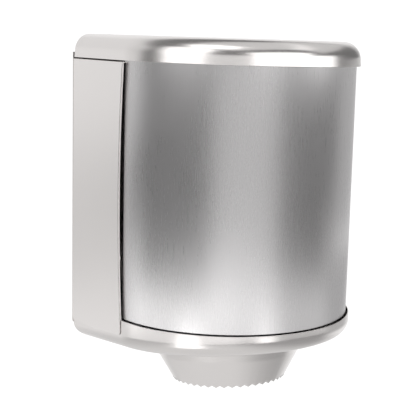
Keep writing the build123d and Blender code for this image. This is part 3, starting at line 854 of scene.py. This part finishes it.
class OpStage(bpy.types.Operator):
    """Pale floor and backdrop, soft lights and the camera"""

    bl_idname = "dispenser.stage"
    bl_label = "Stage"

    PALE = 0.62  # level of the floor and the room where the picture shows them

    # Name, turn and rise in degrees, then distance, width and height in metres, and the level
    SOFTBOXES = (
        ("front_softbox", -23, -7, 1.8, 2.05, 0.75, 0.5),
        ("left_lamp", -79, 27, 1.6, 1.16, 1.35, 1.6),
        ("middle_lamp", -38, 13, 1.6, 1.15, 0.3, 0.75),
        ("high_left_lamp", -62, 62, 1.7, 0.9, 0.6, 1.5),
        ("right_lamp", 8, 22, 1.6, 1.6, 0.98, 1.6),
        ("far_right_lamp", 47, 12, 1.6, 0.85, 0.5, 1.6),
        ("high_right_lamp", 84, 48, 1.7, 1.8, 0.9, 0.5),
        ("right_side_lamp", 96, -3, 2.2, 1.7, 0.7, 0.4),
        ("overhead_lamp", 10, 78, 2.4, 3.2, 2.2, 0.55),
        ("low_left_lamp", -68, -38, 0.8, 0.25, 0.5, 1.5),
        ("low_right_lamp", 0, -24, 1.4, 0.35, 0.3, 1.6),
    )

    def execute(self, context):
        studio = settings("studio")
        self.backdrop(studio)
        self.room(context, studio)
        for softbox in self.SOFTBOXES:
            self.softbox(*softbox)
        self.camera(context, studio)
        context.scene.view_settings.view_transform = "Standard"
        return {"FINISHED"}

    @staticmethod
    def backdrop(studio):
        """Floor that sweeps up into a backdrop behind the object."""
        floor_z, front_y, back_y = -0.62, -3.2, 1.5
        half, bend, rise = 3.5, 0.5, 2.6
        piece = begin("backdrop", (-half, front_y, floor_z))
        draw(0, back_y - bend - front_y, 0)
        turn(pi / 2, EDGE_ROUND_STEPS, (-half, back_y - bend, floor_z + bend), (1, 0, 0))
        draw(0, 0, rise)
        bpy.ops.mesh.select_all(action="SELECT")
        push(2 * half, 0, 0)
        bpy.ops.object.mode_set(mode="OBJECT")
        bpy.ops.object.shade_smooth()
        paper = Finish("backdrop_paper", Roughness=0.9)
        cloud = paper.noise(paper.place, scale=0.8, detail=2.0) - 0.5
        grey, cloud_tone = (0.05, 0.05, 0.05), 0.02
        paper.set(Base_Color=paper.shade(grey, cloud * cloud_tone + 1.0))
        paper.set(Emission_Color=paper.shade((1, 1, 1), OpStage.glow(paper, studio.camera_turn)))
        paper.shader.inputs["Emission Strength"].default_value = studio.backdrop
        piece.data.materials.append(paper.material)

    @staticmethod
    def glow(paper, heading):
        """Level of the backdrop: what the steel mirrors, and plain paper where the picture shows it."""
        x, y, z = paper.axes()
        depth = y - AXIS_Y
        behind = depth * cos(heading) - x * sin(heading)
        across = x * cos(heading) + depth * sin(heading)
        reach = (x * x + depth * depth).math("SQRT")
        ramp = paper.ramp
        ground = ramp(z, -0.6, -0.5, 1.0, 0.0)

        # Wall: dimmer on the left at mid height, on the right and at the top
        mid_height = ramp(z, -0.56, -0.38, 0.0, 1.0) * ramp(z, -0.28, -0.02, 1.0, 0.2)
        skirting = ramp(z, -0.58, -0.42, 1.0, 0.0) * ramp(across, -2.2, -1.9, 0.4, 0.0)
        left = skirting + 0.93 - mid_height * ramp(across, -2.08, -1.84, 0.68, 0.22)
        centre = ramp(across, -1.0, -0.6, 0.0, 1.0)
        right_fade = ramp(across, 0.8, 1.3, 1.0, 0.48)
        top_fade = ramp(z, 0.25, 0.6, 1.0, 0.92) * ramp(z, 1.7, 2.2, 1.0, 0.25)
        tone = (left + centre - left * centre) * right_fade * top_fade
        upright = ramp(behind, -0.7, 0.05, 0.0, 1.0) * (1 - ground)
        wall = ramp(behind, 0.0, 0.5, 0.0, 1.0).math("MAXIMUM", upright) * tone * ramp(reach, 0.4, 1.2, 0.55, 1.0)

        # Table: brighter in its far part, and ending sooner on the left
        left_dim = ramp(across, -0.6, -0.3, 0.86, 1.0) * ramp(across, -1.6, -1.1, 0.78, 1.0)
        near_part = ramp(reach, 0.5, 1.2, 0.74, 0.63) * ramp(across, 0.05, 0.6, 1.0, 0.48) * left_dim
        left_gain = ramp(across, -1.8, -1.3, 2.3, 1.4) * ramp(across, -0.8, -0.2, 1.0, 0.0)
        far_gain = ramp(reach, 1.72, 1.88, 0.0, 1.0) * (ramp(across, 0.05, 0.6, 1.2, 2.25) + left_gain)
        far_fade = ramp(reach, 2.2, 2.9, 1.0, 0.08)
        left_end = ramp(reach, 2.2, 2.6, 0.0, 0.95) * ramp(across, -0.85, -0.5, 1.0, 0.0)
        in_front = ramp(behind, 0.3, 0.9, 1.0, 0.0) * ground
        table = (near_part + near_part * far_gain) * far_fade * in_front * (1 - left_end)

        mirrored = wall.math("MAXIMUM", table)
        plain = ramp(behind, -0.6, 0.9, OpStage.PALE, 1.0)
        seen = paper.node("ShaderNodeLightPath", {}, {}, "Is Camera Ray")
        return mirrored + (plain - mirrored) * seen

    @staticmethod
    def room(context, studio):
        """Even grey room, pale where the picture shows it."""
        world = bpy.data.worlds.new("studio_room")
        world.use_nodes = True
        tree = world.node_tree
        seen = tree.nodes.new("ShaderNodeLightPath").outputs["Is Camera Ray"]
        level = tree.nodes.new("ShaderNodeMapRange")
        level.inputs["To Min"].default_value = studio.surround
        level.inputs["To Max"].default_value = OpStage.PALE
        tree.links.new(seen, level.inputs["Value"])
        tree.links.new(level.outputs["Result"], tree.nodes["Background"].inputs["Color"])
        context.scene.world = world

    @staticmethod
    def softbox(name, turn_degrees, rise_degrees, distance, width, tall, level):
        """Area light of an even level that looks at the object from a turn, a rise and a distance."""
        light = bpy.data.lights.new(name, "AREA")
        light.shape = "RECTANGLE"
        light.size = width
        light.size_y = tall
        light.energy = level * pi * width * tall
        lamp = bpy.data.objects.new(name, light)
        bpy.context.scene.collection.objects.link(lamp)
        angle, rise = radians(turn_degrees), radians(rise_degrees)
        target = Vector((0, AXIS_Y, 0))
        away = Vector((sin(angle) * cos(rise), -cos(angle) * cos(rise), sin(rise)))
        lamp.location = target + away * distance
        lamp.rotation_euler = (-away).to_track_quat("-Z", "Y").to_euler()

    @staticmethod
    def camera(context, studio):
        """Camera at its stand, turned, tilted and rolled, with its picture window shifted."""
        camera = bpy.data.cameras.new("camera")
        camera.lens = studio.lens
        camera.sensor_width = SENSOR_WIDTH
        camera.shift_x = studio.shift_across
        camera.shift_y = studio.shift_up
        eye = bpy.data.objects.new("camera", camera)
        context.scene.collection.objects.link(eye)
        stand, heading = studio.camera_turn, studio.camera_turn + studio.camera_aim
        tilt, roll = studio.camera_tilt, studio.camera_roll
        up = Vector((0, 0, 1))
        level = Vector((-sin(heading), cos(heading), 0))
        right = Vector((cos(heading), sin(heading), 0))
        ahead = level * cos(tilt) + up * sin(tilt)
        above = up * cos(tilt) - level * sin(tilt)
        side_axis = right * cos(roll) + above * sin(roll)
        top_axis = above * cos(roll) - right * sin(roll)
        basis = Matrix((side_axis, top_axis, -ahead)).transposed().to_4x4()
        reach = studio.camera_distance
        basis.translation = (reach * sin(stand), AXIS_Y - reach * cos(stand), CAP_LOW.z + studio.camera_height)
        eye.matrix_world = basis
        context.scene.camera = eye


OPERATORS = (
    OpTopCap, OpFrontCover, OpBottomPan, OpSidePanels, OpOutletCone, OpPaperGuide, OpHardware, OpStage,
)


class DispenserPanel(bpy.types.Panel):
    """Sidebar panel with the dispenser's pieces and settings"""

    bl_idname = "VIEW3D_PT_dispenser"
    bl_label = "Paper Towel Dispenser"
    bl_space_type = "VIEW_3D"
    bl_region_type = "UI"
    bl_category = "Dispenser"

    def draw(self, context):
        for operator in OPERATORS:
            self.layout.operator(operator.bl_idname)
        for name, group in GROUPS.items():
            box = self.layout.box()
            for key in group.__annotations__:
                box.prop(getattr(context.scene, name), key)


CLASSES = (*GROUPS.values(), *OPERATORS, DispenserPanel)


def register():
    for item in CLASSES:
        bpy.utils.register_class(item)
    for name, group in GROUPS.items():
        setattr(bpy.types.Scene, name, PointerProperty(type=group))


def unregister():
    for name in GROUPS:
        delattr(bpy.types.Scene, name)
    for item in reversed(CLASSES):
        bpy.utils.unregister_class(item)


def main():
    register()
    bpy.ops.dispenser.top_cap()
    bpy.ops.dispenser.front_cover()
    bpy.ops.dispenser.bottom_pan()
    bpy.ops.dispenser.side_panels()
    bpy.ops.dispenser.outlet_cone()
    bpy.ops.dispenser.paper_guide()
    bpy.ops.dispenser.hardware()
    bpy.ops.dispenser.stage()


if __name__ == "__main__":
    main()
